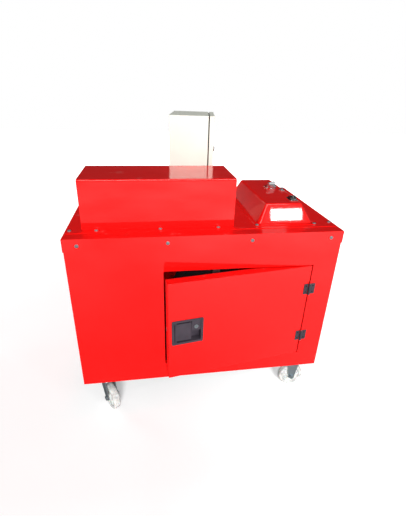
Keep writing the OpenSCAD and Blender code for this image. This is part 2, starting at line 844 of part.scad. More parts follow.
// Folded pan: face, four returns, and the hole for the latch's tray
module door_panel() color(red) ajar() difference() {
    low = [door_x, face_y, door_z];
    box(low, [door_w, door_t, door_h]);
    box([low[0] + sheet, face_y + sheet, low[2] + sheet],
        [door_w - 2 * sheet, door_t, door_h - 2 * sheet]);
    box([latch_x + rim_w - tray_wall - 0.2, face_y - 1, latch_z + rim_w - tray_wall - 0.2],
        [latch_w - 2 * rim_w + 2 * tray_wall + 0.4, sheet + 2,
            latch_h - 2 * rim_w + 2 * tray_wall + 0.4]);
    box([door_x - 1, bolt_y - slip, bolt_z - slip], [sheet + 2, bolt_t + 2 * slip, bolt_h + 2 * slip]);
}

// One leaf of a butt hinge, with the knuckles that belong to it
module hinge_leaf(z, side, bore_r) {
    low = z - hinge_size / 2;
    part = knuckle_share * hinge_size;
    clear_r = knuckle_r + 0.7;
    rests = side > 0 ? [[low, part], [low + hinge_size - part, part]]
        : [[low + part + slip, hinge_size - 2 * part - 2 * slip]];
    difference() {
        union() {
            box([side > 0 ? hinge_x + clear_r : hinge_x - hinge_size / 2, face_y - leaf_t, low],
                [hinge_size / 2 - clear_r, leaf_t, hinge_size]);
            for (k = rests) {
                translate([hinge_x, hinge_y, k[0]]) cylinder(r = knuckle_r, h = k[1]);
                box([side > 0 ? hinge_x : hinge_x - clear_r - eps, face_y - leaf_t, k[0]],
                    [clear_r + eps, leaf_t - 0.5, k[1]]);
            }
        }
        translate([hinge_x, hinge_y, low - 1]) cylinder(r = bore_r, h = hinge_size + 2);
        for (dz = [-1, 1]) translate([hinge_x + side * 13, face_y - leaf_t - 1, z + dz * 12])
            rotate([-90, 0, 0]) cylinder(r1 = 3.6, r2 = 1.6, h = leaf_t);
    }
}

module fixed_hinge_leaves() color(black)
    for (z = hinge_z) hinge_leaf(z, 1, hinge_pin_r);

module door_hinge_leaves() color(black) ajar()
    for (z = hinge_z) hinge_leaf(z, -1, hinge_pin_r + fit);

module hinge_pins() color(black) {
    for (z = hinge_z) translate([hinge_x, hinge_y, z - hinge_size / 2 - 1.5]) {
        cylinder(r = hinge_pin_r, h = hinge_size + 3);
        for (dz = [0, hinge_size + 1.5]) translate([0, 0, dz]) cylinder(r = knuckle_r - 1, h = 1.5);
    }
    turned() for (z = enclosure_hinge_z)
        translate([seam_x, enclosure_pin_y, z - barrel_h / 2]) cylinder(r = enclosure_pin_r, h = barrel_h);
}

// Latch frame: a raised rim with a tray behind it, a column for the key and a finger recess
module latch_frame() color(black) ajar() difference() {
    inner_w = latch_w - 2 * rim_w;
    inner_h = latch_h - 2 * rim_w;
    union() {
        translate([latch_x, face_y, latch_z]) rotate([90, 0, 0])
            round_box([0, 0, 0], [latch_w, latch_h, latch_rim], 4);
        box([latch_x + rim_w - tray_wall, face_y - eps, latch_z + rim_w - tray_wall],
            [inner_w + 2 * tray_wall, latch_depth, inner_h + 2 * tray_wall]);
    }
    difference() {
        box([latch_x + rim_w, face_y - latch_rim - 1, latch_z + rim_w],
            [inner_w, latch_rim + latch_depth - tray_wall + 1, inner_h]);
        box([column_x, face_y + 1, key_z - 15], [latch_w, latch_depth, 34 + rim_w]);
        for (z = [0, 1]) box([latch_x + rim_w - 1, paddle_y - paddle_pin_r - 2,
            z == 0 ? latch_z + rim_w - 1 : latch_z + latch_h - rim_w - 5],
            [paddle_pin_r * 2 + 5, paddle_pin_r * 2 + 4, 6]);
    }
    translate([paddle_x, paddle_y, latch_z + rim_w]) cylinder(r = paddle_pin_r + fit, h = inner_h);
    rod_y([key_x, face_y, key_z], barrel_r + fit, latch_depth + 2);
}

// Paddle: a flat handle on a pin at its left edge, with an inward finger lip at the right
module latch_paddle() color(black) ajar() {
    low_z = latch_z + rim_w + 6;
    height = latch_h - 2 * rim_w - 12;
    box([paddle_x, paddle_y - paddle_t + 1, low_z], [paddle_w, paddle_t - 1, height]);
    box([paddle_x + paddle_w - 5, paddle_y - paddle_t + 1, low_z + 3], [4, 11, height - 30]);
    translate([paddle_x, paddle_y, latch_z + rim_w + 0.5])
        cylinder(r = paddle_pin_r, h = latch_h - 2 * rim_w - 1);
}

module latch_key() color(zinc) ajar() {
    difference() {
        rod_y([key_x, face_y - 0.6, key_z], barrel_r, latch_depth + 2.6);
        box([key_x - 0.8, face_y - 1.6, key_z - 4], [1.6, 5, 8]);
    }
    rod_y([key_x, face_y + latch_depth + 0.3, key_z], barrel_r + 1.5, 1.5);
}

// Dead bolt behind the tray, which the key slides out past the door's edge
module latch_bolt() color(zinc) ajar() {
    box([door_x, bolt_y, bolt_z], [bolt_l, bolt_t, bolt_h]);
}

// Keeper behind the opening's left edge: two cheeks and a back plate round the shot bolt
module latch_keeper() color(zinc) {
    x = left_x + opening_x - sheet;
    y = face_y + sheet;
    depth = bolt_y + bolt_t + 2 - y;
    for (z = [bolt_z - 5, bolt_z + bolt_h + 3]) box([x - keeper_l, y, z], [keeper_l, depth, 2]);
    box([x - keeper_l, y + depth, bolt_z - 5], [keeper_l, 2, bolt_h + 10]);
}

// Caster top plate with its king pin
module caster_plate(x, y, pin) {
    difference() {
        box([x - caster_plate[0] / 2, y - caster_plate[1] / 2, caster_h - caster_plate[2]],
            caster_plate);
        for (sx = [-1, 1], sy = [-1, 1]) translate([x + sx * 38, y + sy * 32, 0])
            cylinder(r = 4.5, h = caster_h + 1);
    }
    if (pin) {
        translate([x, y, fork_top_z - 9]) cylinder(r = king_r, h = 10);
        translate([x, y, fork_top_z - 11]) cylinder(r = king_r + 4, h = 3.5);
    }
}

module caster_plates() color(zinc) {
    for (y = [caster_front, caster_rear]) {
        caster_plate(caster_left, y, true);
        caster_plate(caster_right, y, false);
    }
}

// The two legs of a fork, drawn with the wheel's plane along X and the axle at the given trail
module fork_legs(trail, top_w, top_z) {
    for (side = [-1, 1])
        translate([0, side * (fork_gap / 2 + fork_t / 2) + fork_t / 2, 0]) rotate([90, 0, 0])
            linear_extrude(fork_t) union() {
                polygon([[-top_w / 2, top_z], [top_w / 2, top_z], [trail + 13, wheel_r + 2],
                    [trail - 13, wheel_r - 2]]);
                translate([trail, wheel_r]) circle(13);
            }
}

module axle_bolt(trail) {
    rod_y([trail, -fork_gap / 2 - fork_t - 4, wheel_r], axle_r, fork_gap + 2 * fork_t + 8);
    for (side = [-1, 1])
        translate([trail, side * (fork_gap / 2 + fork_t + 3), wheel_r]) rotate([90, 0, 0])
            cylinder(r = axle_r + 3.5, h = 6, center = true, $fn = 6);
}

module swivel_fork(x, y, turn) translate([x, y, 0]) rotate([0, 0, turn]) {
    difference() {
        union() {
            fork_legs(caster_trail, 52, fork_top_z - 6 + eps);
            translate([0, 0, fork_top_z - 6]) cylinder(r = 27, h = 6);
            box([-20, -fork_gap / 2 - fork_t, fork_top_z - 6], [40, fork_gap + 2 * fork_t, 3]);
            axle_bolt(caster_trail);
        }
        translate([0, 0, fork_top_z - 7]) cylinder(r = king_r + fit, h = 20);
    }
}

module swivel_fork_front() color(zinc) swivel_fork(caster_left, caster_front, front_caster_turn);

module swivel_fork_rear() color(zinc) swivel_fork(caster_left, caster_rear, rear_caster_turn);

module rigid_forks() color(zinc)
    for (y = [caster_front, caster_rear]) translate([caster_right, y, 0]) {
        fork_legs(0, 50, caster_h - caster_plate[2]);
        axle_bolt(0);
        for (side = [-1, 1]) box([-25, side * (fork_gap / 2 + 8) - 8, caster_h - caster_plate[2] - 3],
            [50, 16, 3]);
    }

// Wheel: tread, web and hub, drawn with its axle along Y
module wheel() {
    rotate([90, 0, 0]) rotate_extrude($fn = 96) difference() {
        union() {
            translate([wheel_r - 14, -wheel_w / 2]) square([11, wheel_w]);
            translate([wheel_r - 10, -wheel_w / 2 + 3]) square([10, wheel_w - 6]);
            for (s = [-1, 1]) translate([wheel_r - 3, s * (wheel_w / 2 - 3)]) circle(3, $fn = 24);
            translate([axle_r + fit, -4]) square([wheel_r - 14 - axle_r, 8]);
            translate([axle_r + fit, -wheel_w / 2 - 3]) square([9, wheel_w + 6]);
        }
        translate([0, -wheel_w]) square([axle_r + fit, 2 * wheel_w]);
    }
}

module swivel_wheel(y, turn) translate([caster_left, y, 0]) rotate([0, 0, turn])
    translate([caster_trail, 0, wheel_r]) wheel();

module wheel_left_front() color("gainsboro") swivel_wheel(caster_front, front_caster_turn);

module wheel_left_rear() color("gainsboro") swivel_wheel(caster_rear, rear_caster_turn);

module wheel_right_front() color("gainsboro") translate([caster_right, caster_front, wheel_r]) wheel();

module wheel_right_rear() color("gainsboro") translate([caster_right, caster_rear, wheel_r]) wheel();

// Upright plate on a foot, with the reel's fixed shaft
module reel_stand() color(steel) {
    plate_w = 180;
    box([reel_x - plate_w / 2, stand_y, floor_z], [plate_w, stand_plate_t, reel_z - floor_z + 50]);
    box([reel_x - plate_w / 2, stand_y, floor_z], [plate_w, 90, 6]);
    for (s = [-1, 1]) translate([reel_x + s * (plate_w / 2 - 3), stand_y + stand_plate_t - eps, floor_z])
        rotate([90, 0, 90]) translate([0, 0, -3]) linear_extrude(6)
            polygon([[0, 0], [80, 0], [0, 150]]);
    rod_y([reel_x, reel_front - 6, reel_z], shaft_r, stand_y + 1 - reel_front + 6);
    rod_y([reel_x, stand_y - 12, reel_z], shaft_r + 8, 12 + eps);
    rod_y([reel_x, reel_front - 12, reel_z], shaft_r + 5, 12 - slip);
    rod_y(brake_pivot - [0, 2, 0], brake_pin_r, stand_y - brake_pivot[1] + 3);
    rod_y([brake_pivot[0], brake_pivot[1] + 8 + slip, brake_pivot[2]], brake_pin_r + 4,
        stand_y - brake_pivot[1] - 8);
}

// Reel: a hub on the shaft, a slotted core drum, four flat arms in front and four behind
module strap_reel() color(zinc) difference() {
    union() {
        rod_y([reel_x, reel_front, reel_z], hub_r, reel_back - reel_front);
        for (y = [reel_front, reel_back - arm_t]) {
            for (a = [0, 90]) translate([reel_x, y, reel_z]) rotate([0, a, 0])
                translate([-reel_r, 0, -arm_w / 2]) cube([2 * reel_r, arm_t, arm_w]);
            rod_y([reel_x, y, reel_z], core_r - slip, arm_t);
        }
        for (a = [45:90:315]) rotate_about(a)
            rod_y([reel_x + core_r - spoke_r - 2 * slip, reel_front, reel_z], spoke_r,
                reel_back - reel_front);
        rod_y([reel_x, reel_back - eps, reel_z], drum_r, drum_l);
    }
    rod_y([reel_x, reel_front - 1, reel_z], shaft_r + fit, reel_back + drum_l - reel_front + 2);
}

module rotate_about(a) {
    translate([reel_x, 0, reel_z]) rotate([0, a, 0]) translate([-reel_x, 0, -reel_z]) children();
}

// The strap's winding on its paper core
module strap_coil() color("wheat") difference() {
    rod_y([reel_x, coil_y, reel_z], coil_r, coil_w);
    rod_y([reel_x, coil_y - 1, reel_z], core_r, coil_w + 2);
}

// Brake: a lever on a pin of the stand, whose shoe lies close under the reel's drum
module reel_brake() color(steel) difference() {
    union() {
        rod_y(brake_pivot, brake_pin_r + 6, 8);
        box([reel_x - 24, brake_pivot[1], brake_pivot[2] - 7], [brake_pivot[0] - reel_x + 24, 8, 14]);
        box([reel_x - 16, brake_pivot[1], brake_pivot[2]], [32, 8, reel_z - brake_pivot[2] - 30]);
    }
    rod_y(brake_pivot - [0, 1, 0], brake_pin_r + fit, 10);
    rod_y([reel_x, brake_pivot[1] - 1, reel_z], drum_r + slip, 10);
}

// Feed plate on its foot, with the bearing housings and the strap chute up to the slot
module feed_plate() color(steel) {
    difference() {
        union() {
            box([feed_x, feed_y, floor_z], [feed_w, feed_t, feed_top - floor_z]);
            box([feed_x, feed_y, floor_z], [feed_w, 70, 6]);
            for (x = [drive_x, press_x])
                rod_y([x, feed_y - 4, feed_roller_z], feed_shaft_r + 9, feed_t + 8);
        }
        for (x = [drive_x, press_x])
            rod_y([x, feed_y - 5, feed_roller_z], feed_shaft_r + fit, feed_t + 10);
        rod_y([motor_x, feed_y - 1, motor_z], pilot_r + fit, feed_t + 2);
    }
    for (side = [-1, 1])
        box([slot_x + side * (slot_w / 2 + 1.5) - 1.5, feed_roller_y, feed_roller_z + feed_r],
            [3, feed_y - feed_roller_y + eps, feed_top - feed_roller_z - feed_r]);
}

// Feed motor, flanged to the front of the feed plate, with ribs and a terminal box
module feed_motor() color("steelblue") difference() {
    union() {
        rod_y([motor_x, feed_y - motor_l, motor_z], motor_r - 5, motor_l);
        for (i = [0:9]) rod_y([motor_x, feed_y - motor_l + 12 + i * 12, motor_z], motor_r, 5);
        rod_y([motor_x, feed_y - 8, motor_z], motor_r + 6, 8);
        rod_y([motor_x, feed_y - eps, motor_z], pilot_r, feed_t);
        box([motor_x - 35, feed_y - 110, motor_z + motor_r - 12], [70, 70, 40]);
    }
    rod_y([motor_x, feed_y - 40, motor_z], feed_shaft_r + fit, 60);
}

module pulley(x, z, r, shaft_start) {
    rod_y([x, shaft_start, z], feed_shaft_r, pulley_y + pulley_w + 6 - shaft_start);
    rod_y([x, pulley_y, z], r, pulley_w);
    for (y = [pulley_y - 2, pulley_y + pulley_w]) rod_y([x, y, z], r + 5, 2);
}

module motor_pulley() color(steel) pulley(motor_x, motor_z, motor_pulley_r, feed_y - 36);

// Flat belt round both pulleys
module drive_belt() color(black) translate([0, pulley_y + 0.5, 0]) rotate([90, 0, 0])
    translate([0, 0, -pulley_w + 1]) linear_extrude(pulley_w - 1) difference() {
        belt_outline(belt_t + slip);
        belt_outline(slip);
    }

module belt_outline(grow) hull() {
    translate([motor_x, motor_z]) circle(motor_pulley_r + grow, $fn = 64);
    translate([drive_x, feed_roller_z]) circle(feed_pulley_r + grow, $fn = 64);
}

// A feed roller on its shaft, which runs through the plate
module feed_roller(x) {
    rod_y([x, feed_roller_y, feed_roller_z], feed_r, feed_roller_w);
    rod_y([x, feed_roller_y - 8, feed_roller_z], feed_shaft_r, feed_y + feed_t + 6 - feed_roller_y + 8);
}

module feed_roller_drive() color(steel) {
    feed_roller(drive_x);
    pulley(drive_x, feed_roller_z, feed_pulley_r, feed_y + feed_t + 4);
}

module feed_roller_press() color(steel) feed_roller(press_x);

base_frame();
corner_posts();
top_frame();
floor_plate();
front_panel();
left_panel();
right_panel();
rear_panel();
lid();
skirt_screws();
table_sheet();
work_plate();
hood();
top_screws();
head_frame();
anvil();
gear_motor();
cam_shaft();
gripper_ram();
press_ram();
heater_blade();
control_box();
control_bezels();
selector_knob();
push_button();
rocker_switch();
enclosure_stand();
enclosure_body();
enclosure_gasket();
enclosure_electrics();
enclosure_door();
enclosure_lock();
cable_gland();
door_panel();
fixed_hinge_leaves();
door_hinge_leaves();
hinge_pins();
latch_frame();
latch_paddle();
latch_key();
latch_bolt();
latch_keeper();
caster_plates();
swivel_fork_front();
swivel_fork_rear();
rigid_forks();
wheel_left_front();
wheel_left_rear();
wheel_right_front();
wheel_right_rear();
reel_stand();
strap_reel();
strap_coil();
reel_brake();
feed_plate();
feed_motor();
motor_pulley();
drive_belt();
feed_roller_drive();
feed_roller_press();
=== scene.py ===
"""Looks of the strapping machine: paint, plating, plastics and fine parts around the CAD frame."""
import json
from math import cos, pi, radians, sin

import bmesh
import bpy
from mathutils import Matrix, Vector


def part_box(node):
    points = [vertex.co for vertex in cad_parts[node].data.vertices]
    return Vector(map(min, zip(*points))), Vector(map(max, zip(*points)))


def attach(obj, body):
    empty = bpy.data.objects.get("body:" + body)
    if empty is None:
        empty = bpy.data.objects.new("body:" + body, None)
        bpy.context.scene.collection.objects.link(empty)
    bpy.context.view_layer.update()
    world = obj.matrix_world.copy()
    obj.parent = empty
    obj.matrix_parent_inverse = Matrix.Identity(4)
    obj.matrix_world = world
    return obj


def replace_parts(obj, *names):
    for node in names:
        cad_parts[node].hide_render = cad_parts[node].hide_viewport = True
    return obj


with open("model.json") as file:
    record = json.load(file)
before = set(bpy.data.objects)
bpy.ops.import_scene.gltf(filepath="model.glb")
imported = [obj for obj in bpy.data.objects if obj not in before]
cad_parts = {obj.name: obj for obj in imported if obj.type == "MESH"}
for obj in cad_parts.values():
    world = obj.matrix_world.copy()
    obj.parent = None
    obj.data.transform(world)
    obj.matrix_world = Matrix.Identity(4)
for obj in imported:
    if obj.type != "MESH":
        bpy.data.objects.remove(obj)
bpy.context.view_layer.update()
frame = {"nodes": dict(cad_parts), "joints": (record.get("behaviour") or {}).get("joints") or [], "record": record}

MM = 0.001
BODY_OF = {n: b for b, ns in frame["record"]["behaviour"]["bodies"].items() for n in ns}
SLOT_OF = {s["node"]: s["material_slot"] for s in frame["record"]["subparts"]}
JOINT = {j["name"]: j for j in frame["joints"]}

# Camera: the place of the eye, three turns in degrees and the lens in mm
CAMERA_AT = (-0.1944, -1.2437, 1.1228)
CAMERA_DOWN = 25.992
CAMERA_RIGHT = 9.758
CAMERA_ROLL = 1.961
CAMERA_LENS = 24.31

# Light: soft daylight from the front, the sky's strengths in front and behind, the floor's glow
SUN_FROM = (-0.02, -1.0, 0.50)
SUN_STRENGTH = 3.6
SUN_SPREAD = 14
SKY_FRONT = 0.34
SKY_BEHIND = 0.03
FLOOR_HALF = 9
FLOOR_GLOW = 0.32
FLOOR_GLOW_FAR = 1.0

# Sheet and machined edges
SHARP_ANGLE = 33.0
SMOOTH_ANGLE = 38.0
WELD = 0.004 * MM
FLAT_ANGLE = 0.6


# ---------------------------------------------------------------- shader building blocks

class Shader:
    """A material's node tree, with short calls for the nodes that repeat."""

    def __init__(self, name):
        self.material = bpy.data.materials.new(name)
        self.material.use_nodes = True
        self.tree = self.material.node_tree
        self.bsdf = self.tree.nodes["Principled BSDF"]
        self.space = self.node("ShaderNodeTexCoord").outputs["Object"]

    def node(self, kind, **props):
        made = self.tree.nodes.new(kind)
        for key, value in props.items():
            setattr(made, key, value)
        return made

    def link(self, source, target):
        self.tree.links.new(source, target)

    def scaled(self, factors):
        """The object's coordinates, stretched by three factors."""
        mapping = self.node("ShaderNodeMapping")
        mapping.inputs["Scale"].default_value = factors
        self.link(self.space, mapping.inputs["Vector"])
        return mapping.outputs["Vector"]

    def noise(self, scale, detail=3.0, rough=0.55, space=None):
        made = self.node("ShaderNodeTexNoise")
        made.inputs["Scale"].default_value = scale
        made.inputs["Detail"].default_value = detail
        made.inputs["Roughness"].default_value = rough
        self.link(space or self.space, made.inputs["Vector"])
        return made.outputs["Fac"]

    def cells(self, scale):
        made = self.node("ShaderNodeTexVoronoi")
        made.inputs["Scale"].default_value = scale
        self.link(self.space, made.inputs["Vector"])
        return made.outputs["Color"]

    def ramp(self, source, stops):
        """Colours or greys by the source's value: stops are (position, colour)."""
        made = self.node("ShaderNodeValToRGB")
        elements = made.color_ramp.elements
        while len(elements) < len(stops):
            elements.new(0.5)
        for element, (position, colour) in zip(elements, stops):
            element.position = position
            element.color = (*colour, 1.0)
        self.link(source, made.inputs["Fac"])
        return made.outputs["Color"]

    def parts(self, vector):
        """The X, Y and Z outputs of a vector."""
        made = self.node("ShaderNodeSeparateXYZ")
        self.link(vector, made.inputs[0])
        return made.outputs

    def span(self, source, low, high, start=0.3, stop=0.7):
        """The source's range start..stop, carried over to low..high."""
        made = self.node("ShaderNodeMapRange")
        for key, value in zip(("From Min", "From Max", "To Min", "To Max"),
                              (start, stop, low, high)):
            made.inputs[key].default_value = value
        self.link(source, made.inputs["Value"])
        return made.outputs["Result"]

    def mix(self, factor, first, second, blend="MIX"):
        made = self.node("ShaderNodeMix", data_type="RGBA", blend_type=blend)
        self.link(factor, made.inputs["Factor"])
        for value, key in ((first, "A"), (second, "B")):
            socket = next(s for s in made.inputs if s.name == key and s.type == "RGBA")
            if isinstance(value, tuple):
                socket.default_value = (*value, 1.0)
            else:
                self.link(value, socket)
        return next(s for s in made.outputs if s.type == "RGBA")

    def add(self, first, second, how="ADD"):
        """Two values put together, by default as a sum."""
        made = self.node("ShaderNodeMath", operation=how)
        for value, socket in ((first, made.inputs[0]), (second, made.inputs[1])):
            if isinstance(value, (int, float)):
                socket.default_value = value
            else:
                self.link(value, socket)
        return made.outputs[0]

    def bump(self, height, distance, strength=1.0, under=None):
        made = self.node("ShaderNodeBump")
        made.inputs["Distance"].default_value = distance
        made.inputs["Strength"].default_value = strength
        self.link(height, made.inputs["Height"])
        if under is not None:
            self.link(under, made.inputs["Normal"])
        return made.outputs["Normal"]

    def set(self, **values):
        """Constant sockets of the shader, named with underscores for spaces."""
        for key, value in values.items():
            self.bsdf.inputs[key.replace("_", " ")].default_value = value
        return self

    def wire(self, **sources):
        for key, source in sources.items():
            self.link(source, self.bsdf.inputs[key.replace("_", " ")])
        return self


def tint(colour, factor):
    """The colour made darker or lighter by a factor."""
    return tuple(min(1.0, c * factor) for c in colour)


def paint(name, colour, gloss=0.3, dust=0.0, orange_peel=0.10, coat=1.0):
    """Powder coat: faint mottling, orange peel, wiped smears, and some dust on what faces up."""
    s = Shader(name)
    mottled = s.ramp(s.noise(9.0, 4.0), [(0.35, tint(colour, 0.97)), (0.65, tint(colour, 1.03))])
    smear = s.noise(5.0, 5.0, 0.6, s.scaled((1.0, 2.2, 2.6)))
    if dust:
        up = s.parts(s.node("ShaderNodeNewGeometry").outputs["Normal"])["Z"]
        patches = s.span(s.noise(13.0, 7.0, 0.7, s.scaled((1.0, 1.6, 1.0))), 0.0, dust, 0.62, 0.74)
        lying = s.add(patches, s.span(up, 0.0, 1.0, 0.7, 0.95), "MULTIPLY")
        mottled = s.mix(lying, mottled, (0.62, 0.5, 0.47))
    s.wire(Base_Color=mottled, Roughness=s.span(smear, gloss, gloss + 0.14))
    peel = s.bump(s.noise(420.0, 1.5), 0.0002, orange_peel)
    s.wire(Normal=s.bump(s.noise(16.0, 2.0), 0.0012, 0.05, peel))
    s.set(Coat_Weight=coat, Coat_Roughness=0.035, Coat_IOR=1.55, Specular_IOR_Level=0.02)
    return s.material


def plated(name, colour):
    """Zinc or steel with a fine spangle, scratches and cloudy dulling."""
    s = Shader(name)
    spangle = s.ramp(s.cells(900.0), [(0.2, tint(colour, 0.9)), (0.8, tint(colour, 1.08))])
    cloud = s.ramp(s.noise(30.0, 5.0), [(0.4, tint(colour, 0.78)), (0.62, tint(colour, 1.02))])
    s.wire(Base_Color=s.mix(s.noise(60.0), spangle, cloud))
    scratch = s.noise(140.0, 3.0, 0.6, s.scaled((1.0, 1.0, 14.0)))
    s.wire(Roughness=s.span(scratch, 0.3, 0.48))
    s.wire(Normal=s.bump(scratch, 0.0001, 0.35))
    s.set(Metallic=0.95)
    return s.material


def brushed(name, colour, stretch=(1.0, 60.0, 60.0), rough=0.28):
    """Metal with a grain of long fine lines."""
    s = Shader(name)
    grain = s.noise(45.0, 6.0, 0.7, s.scaled(stretch))
    s.wire(Base_Color=s.ramp(grain, [(0.3, tint(colour, 0.82)), (0.7, tint(colour, 1.05))]))
    s.wire(Roughness=s.span(grain, rough, rough + 0.2), Normal=s.bump(grain, 0.0001, 0.3))
    s.set(Metallic=1.0)
    return s.material


def polished(name, colour):
    """Chrome with faint wipe marks."""
    s = Shader(name)
    haze = s.noise(70.0, 5.0, 0.6)
    s.wire(Base_Color=s.ramp(haze, [(0.3, tint(colour, 0.93)), (0.7, tint(colour, 1.04))]))
    s.wire(Roughness=s.span(haze, 0.05, 0.16))
    s.set(Metallic=1.0)
    return s.material


def moulded(name, colour, rough=0.42, grain=1500.0, depth=0.5):
    """Moulded plastic or rubber with a fine spark-eroded grain."""
    s = Shader(name)
    fine = s.noise(grain, 2.0)
    worn = s.noise(26.0, 4.0)
    s.wire(Base_Color=s.ramp(worn, [(0.35, tint(colour, 0.85)), (0.7, tint(colour, 1.25))]))
    s.wire(Roughness=s.span(worn, rough, rough + 0.15), Normal=s.bump(fine, 0.0001, depth))
    return s.material


def nylon(name, colour):
    """Light wheel nylon, with grey rolling dirt and a little translucency."""
    s = Shader(name)
    dirt = s.noise(55.0, 6.0, 0.65)
    s.wire(Base_Color=s.ramp(dirt, [(0.38, tint(colour, 0.62)), (0.6, tint(colour, 1.05))]))
    s.wire(Roughness=s.span(dirt, 0.55, 0.38), Normal=s.bump(s.noise(300.0, 3.0), 0.0002, 0.4))
    s.set(Subsurface_Weight=0.08)
    return s.material


def wound(name, colour):
    """Polypropylene strap: a fine embossed weave on a satin plastic."""
    s = Shader(name)
    weave = s.cells(1100.0)
    tone = s.noise(18.0, 3.0)
    s.wire(Base_Color=s.ramp(tone, [(0.3, tint(colour, 0.88)), (0.7, tint(colour, 1.04))]))
    s.wire(Normal=s.bump(weave, 0.0002, 0.6))
    s.set(Roughness=0.34, Coat_Weight=0.2)
    return s.material


RED = (0.84, 0.0045, 0.0040)
CREAM = (0.74, 0.755, 0.67)
MATERIALS = {
    "red_paint": paint("red_paint", RED, dust=0.2),
    "cream_paint": paint("cream_paint", CREAM, gloss=0.4, orange_peel=0.3, coat=0.3),
    "frame_paint": paint("frame_paint", (0.03, 0.03, 0.033), gloss=0.4),
    "motor_paint": paint("motor_paint", (0.05, 0.12, 0.22), gloss=0.3, dust=0.2),
    "zinc": plated("zinc", (0.50, 0.58, 0.62)),
    "machined_steel": brushed("machined_steel", (0.52, 0.53, 0.55)),
    "stainless": brushed("stainless", (0.66, 0.66, 0.67), (60.0, 1.0, 60.0), 0.22),
    "chrome": polished("chrome", (0.84, 0.85, 0.87)),
    "black_plastic": moulded("black_plastic", (0.045, 0.036, 0.048)),
    "gloss_black": moulded("gloss_black", (0.012, 0.012, 0.014), 0.12, depth=0.08),
    "wheel_nylon": nylon("wheel_nylon", (0.70, 0.71, 0.69)),
    "gasket_rubber": moulded("gasket_rubber", (0.02, 0.02, 0.02), 0.75, 800.0, 0.9),
    "belt_rubber": moulded("belt_rubber", (0.025, 0.024, 0.023), 0.7, 600.0, 0.9),
    "brass": brushed("brass", (0.66, 0.46, 0.17)),
    "strap": wound("strap", (0.022, 0.023, 0.025)),
}


# ---------------------------------------------------------------- mesh building blocks

def link_new(name, data):
    """A new object in the scene."""
    made = bpy.data.objects.new(name, data)
    bpy.context.scene.collection.objects.link(made)
    return made


def place(bm, name, body, slot):
    """Makes the mesh a piece that rides on a body and takes its finish from a slot."""
    mesh = bpy.data.meshes.new(name)
    bm.to_mesh(mesh)
    bm.free()
    piece = link_new(name, mesh)
    for polygon in mesh.polygons:
        polygon.use_smooth = True
    mesh.set_sharp_from_angle(angle=radians(SMOOTH_ANGLE))
    mesh.materials.append(MATERIALS[slot])
    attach(piece, body)
    return piece


def cad_bmesh(node):
    """The node's own mesh, welded and with its flat faces joined."""
    bm = bmesh.new()
    bm.from_mesh(frame["nodes"][node].data)
    bmesh.ops.remove_doubles(bm, verts=bm.verts, dist=WELD)
    bmesh.ops.dissolve_limit(bm, angle_limit=radians(FLAT_ANGLE), verts=bm.verts,
                             edges=bm.edges, delimit=set())
    return bm


def soft_edged(node, width, hollows=True):
    """A finer piece in a CAD node's place: the same shape with its sharp edges rounded.
    Without hollows, inner corners stay sharp, so that no fillet reaches a part that turns there."""
    bm = cad_bmesh(node)
    sharp = [e for e in bm.edges if len(e.link_faces) == 2 and (hollows or e.is_convex)
             and e.calc_face_angle(0.0) > radians(SHARP_ANGLE)]
    bmesh.ops.bevel(bm, geom=sharp, offset=width, segments=3, profile=0.5,
                    affect="EDGES", clamp_overlap=True, harden_normals=False)
    piece = place(bm, node + "_soft", BODY_OF[node], SLOT_OF[node])
    weighted = piece.modifiers.new("weighted", "WEIGHTED_NORMAL")
    weighted.keep_sharp = True
    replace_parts(piece, node)
    return piece


for node, obj in frame["nodes"].items():
    obj.data.materials.clear()
    obj.data.materials.append(MATERIALS[SLOT_OF[node]])

# How far each node's edges are rounded, in mm
EDGES = {
    "lid": 1.3, "table_sheet": 0.5, "hood": 0.9, "front_panel": 0.7, "door_panel": 0.9,
    "rear_panel": 0.4, "left_panel": 0.4, "right_panel": 0.4, "enclosure_body": 0.5,
    "enclosure_door": 0.6, "enclosure_stand": 0.4, "work_plate": 0.5, "latch_frame": 0.6,
    "latch_paddle": 0.7, "latch_key": 0.3, "latch_bolt": 0.6, "latch_keeper": 0.3,
    "fixed_hinge_leaves": 0.35, "door_hinge_leaves": 0.35, "caster_plates": 0.4,
    "swivel_fork_front": 0.5, "swivel_fork_rear": 0.5, "rigid_forks": 0.5,
    "selector_knob": 0.8, "control_bezels": 0.4, "push_button": 0.5, "rocker_switch": 0.6,
    "skirt_screws": 0.25, "top_screws": 0.25, "cable_gland": 0.5, "enclosure_lock": 0.4,
    "anvil": 0.6, "reel_stand": 0.6, "strap_reel": 0.5, "gripper_ram": 0.4, "press_ram": 0.4,
    "base_frame": 0.5, "corner_posts": 0.5, "top_frame": 0.5, "gear_motor": 0.8,
    "feed_motor": 0.8, "feed_plate": 0.6, "head_frame": 0.6, "reel_brake": 0.5,
}
TURNS_IN_A_CORNER = ("reel_stand", "strap_reel")
for node, width in EDGES.items():
    soft_edged(node, width * MM, node not in TURNS_IN_A_CORNER)


# ---------------------------------------------------------------- fine parts

def lathe(bm, profile, at, axis, steps=64):
    """Turns a closed outline of (radius, along) points about an axis through a point."""
    axis = Vector(axis).normalized()
    side = axis.orthogonal().normalized()
    turned = Matrix.Translation(at) @ Matrix((side, axis.cross(side), axis)).transposed().to_4x4()
    rings = []
    for i in range(steps):
        angle = 2 * pi * i / steps
        rings.append([bm.verts.new(turned @ Vector((r * cos(angle), r * sin(angle), t)))
                      for r, t in profile])
    count = len(profile)
    for i in range(steps):
        one, two = rings[i], rings[(i + 1) % steps]
        for k in range(count):
            bm.faces.new((one[k], two[k], two[(k + 1) % count], one[(k + 1) % count]))
    bmesh.ops.remove_doubles(bm, verts=bm.verts, dist=0.002 * MM)
    bmesh.ops.recalc_face_normals(bm, faces=bm.faces)


